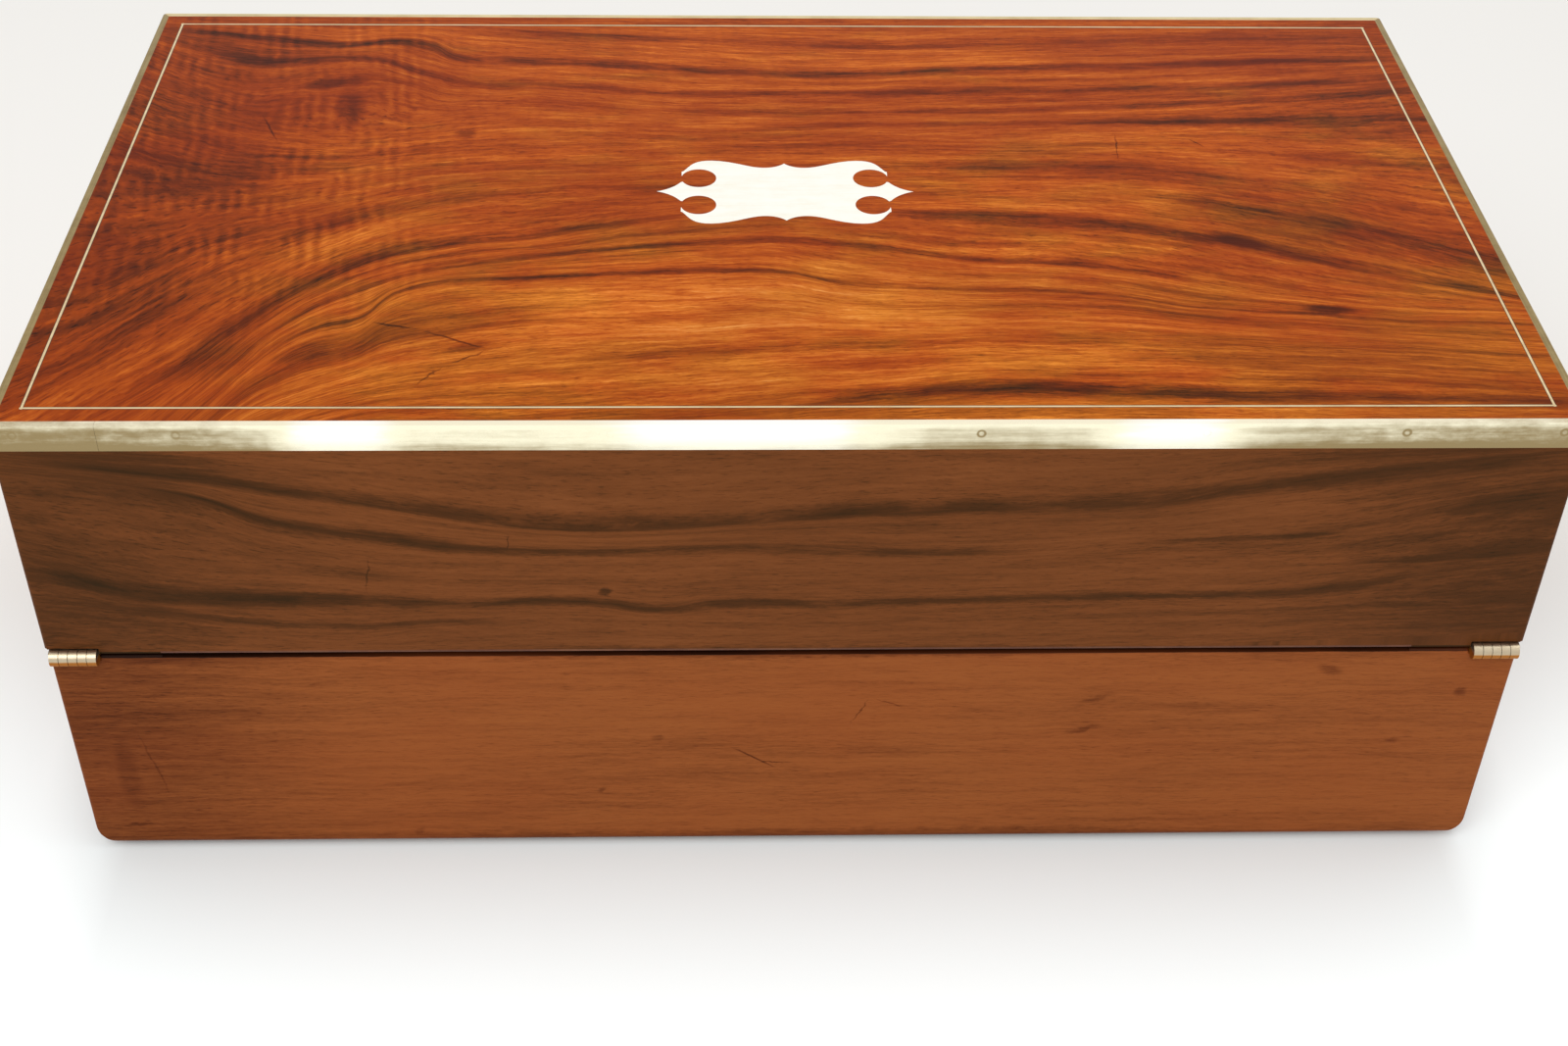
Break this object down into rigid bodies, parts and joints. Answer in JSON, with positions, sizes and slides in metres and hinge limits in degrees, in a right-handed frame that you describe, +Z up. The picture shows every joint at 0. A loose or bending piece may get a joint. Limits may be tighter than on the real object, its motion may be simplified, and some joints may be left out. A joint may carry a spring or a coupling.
{
  "type": "writing slope",
  "caption": "Wooden writing slope with a brass-edged lid on barrel hinges; it opens flat to a sloping leather writing surface over paper compartments, with pen tray, ink bottles and lock.",
  "frame": {"origin": "centre of the flat underside that the box stands on", "axes": "+X along the length, +Y from the hinge side to the lock side, +Z up"},
  "size_m": [0.4064, 0.2317, 0.156],
  "materials": {
    "walnut_top": "high French polish over figured veneer",
    "walnut_lid": "French polish",
    "walnut_base": "French polish",
    "mahogany_inside": "satin polish",
    "pine_bottom": "unpolished",
    "brass_edging": "old polish with a dull film",
    "brass_inlay": "bright, flush with the wood",
    "brass_hinge": "worn",
    "brass_fittings": "polished",
    "lock_steel": "oiled",
    "writing_leather": "skiver with a tooled border",
    "baize": "felted wool",
    "lining_paper": "laid paper",
    "ink_glass": "clear pressed glass"
  },
  "bodies": {
    "base": {"hinge_leaves_base": "brass_hinge", "hinge_pins": "brass_hinge", "base_brass_screws": "brass_fittings", "base_flap_hinges_fixed": "brass_hinge", "base_flap_hinge_pins": "brass_hinge", "lock_plate": "brass_fittings", "lock_case": "lock_steel", "lock_key_pin": "lock_steel", "lock_escutcheon": "brass_fittings", "base_hinge_wall": "walnut_base", "base_lock_wall": "walnut_base", "base_left_wall": "walnut_base", "base_right_wall": "walnut_base", "base_bottom_board": "pine_bottom", "base_underlay": "baize", "base_lining": "lining_paper", "pen_floor": "mahogany_inside", "pen_divider": "mahogany_inside", "ink_partitions": "mahogany_inside", "pen_tray": "mahogany_inside", "tray_blocks": "mahogany_inside", "ink_bottle_right": "ink_glass", "ink_bottle_left": "ink_glass", "ink_collars": "brass_fittings", "base_ledges": "mahogany_inside", "base_fold_strip": "writing_leather"},
    "lid": {"hinge_leaves_lid": "brass_hinge", "lid_brass_screws": "brass_fittings", "lid_flap_hinges_fixed": "brass_hinge", "lid_flap_hinge_pins": "brass_hinge", "link_plate": "brass_fittings", "lid_ledges": "mahogany_inside", "lid_fold_strip": "writing_leather", "lid_hinge_wall": "walnut_lid", "lid_lock_wall": "walnut_lid", "lid_left_wall": "walnut_lid", "lid_right_wall": "walnut_lid", "lid_lining": "lining_paper", "lid_lock_rail": "mahogany_inside", "lid_top_board": "walnut_top", "lid_cartouche": "brass_inlay", "lid_stringing": "brass_inlay", "edging_pins": "brass_edging", "edging_hinge": "brass_edging", "edging_lock": "brass_edging", "edging_left": "brass_edging", "edging_right": "brass_edging", "flap_button_screw": "brass_fittings"},
    "base_flap": {"base_flap_board": "mahogany_inside", "base_flap_leather": "writing_leather", "base_flap_hinges_moving": "brass_hinge"},
    "lid_flap": {"lid_flap_board": "mahogany_inside", "lid_flap_leather": "writing_leather", "lid_flap_hinges_moving": "brass_hinge"},
    "lock_bolt": {"lock_bolt": "lock_steel"},
    "flap_button": {"flap_button": "brass_fittings"},
    "ink_cap_left": {"ink_cap_left": "brass_fittings"},
    "ink_cap_right": {"ink_cap_right": "brass_fittings"}
  },
  "joints": [
    {"name": "lid_hinge", "type": "hinge", "parent": "base", "child": "lid", "pos_m": [0, -0.115, 0.078], "axis": [1, 0, 0], "range_deg": [0, 180]},
    {"name": "base_flap_hinge", "type": "hinge", "parent": "base", "child": "base_flap", "pos_m": [0, -0.09861, 0.07832], "axis": [1, 0, 0], "range_deg": [0, 55]},
    {"name": "lid_flap_hinge", "type": "hinge", "parent": "lid", "child": "lid_flap", "pos_m": [0, -0.09947, 0.08325], "axis": [-1, 0, 0], "range_deg": [0, 55]},
    {"name": "lock_bolt_slide", "type": "slide", "parent": "base", "child": "lock_bolt", "axis": [1, 0, 0], "range_m": [0, 0.0045]},
    {"name": "flap_button_turn", "type": "hinge", "parent": "lid", "child": "flap_button", "pos_m": [0, 0.09716, 0.11511], "axis": [0, 0.1718, -0.9851], "range_deg": [0, 90]},
    {"name": "ink_cap_left_turn", "type": "hinge", "parent": "base", "child": "ink_cap_left", "pos_m": [-0.1685, 0.0773, 0.09], "axis": [0, 0, 1], "range_deg": [0, 540]},
    {"name": "ink_cap_right_turn", "type": "hinge", "parent": "base", "child": "ink_cap_right", "pos_m": [0.1685, 0.0773, 0.09], "axis": [0, 0, 1], "range_deg": [0, 540]}
  ],
  "couplings": [
    {"joint": "base_flap_hinge", "follows": "lid_hinge", "ratio": 0.3},
    {"joint": "lid_flap_hinge", "follows": "lid_hinge", "ratio": 0.3}
  ]
}
